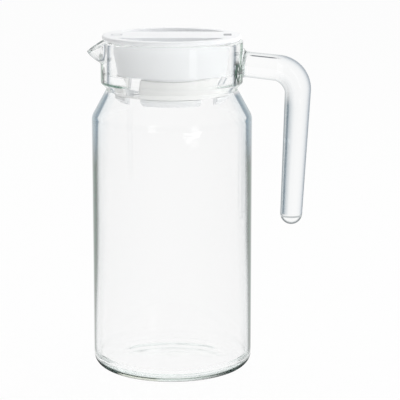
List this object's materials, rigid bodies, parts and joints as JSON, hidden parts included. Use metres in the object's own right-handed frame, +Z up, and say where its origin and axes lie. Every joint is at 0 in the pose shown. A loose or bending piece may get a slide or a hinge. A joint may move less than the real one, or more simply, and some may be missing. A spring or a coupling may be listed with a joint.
{
  "type": "glass pitcher",
  "caption": "Cylindrical glass pitcher with a drawn-in shoulder, a pulled spout, a free-ended glass handle and a push-in lid whose cap turns to open or close its pour slots.",
  "frame": {"origin": "middle of the standing ring, on the jug's axis and on the surface it stands on", "axes": "+Z up along the jug's axis, -X towards the spout, +X towards the handle"},
  "size_m": [0.1392, 0.1, 0.2104],
  "materials": {
    "glass": "clear, fire-polished",
    "white_plastic": "satin moulded",
    "translucent_plastic": "translucent moulded"
  },
  "bodies": {
    "jug": {"glass_body": "glass", "handle": "glass"},
    "lid_seat": {"lid_collar": "translucent_plastic"},
    "lid": {"lid_cap": "white_plastic"}
  },
  "joints": [
    {"name": "lid_lift", "type": "slide", "parent": "jug", "child": "lid_seat", "axis": [0, 0, 1], "range_m": [0, 0.06]},
    {"name": "lid_turn", "type": "hinge", "parent": "lid_seat", "child": "lid", "pos_m": [0, 0, 0.1844], "axis": [0, 0, 1], "continuous": true}
  ]
}
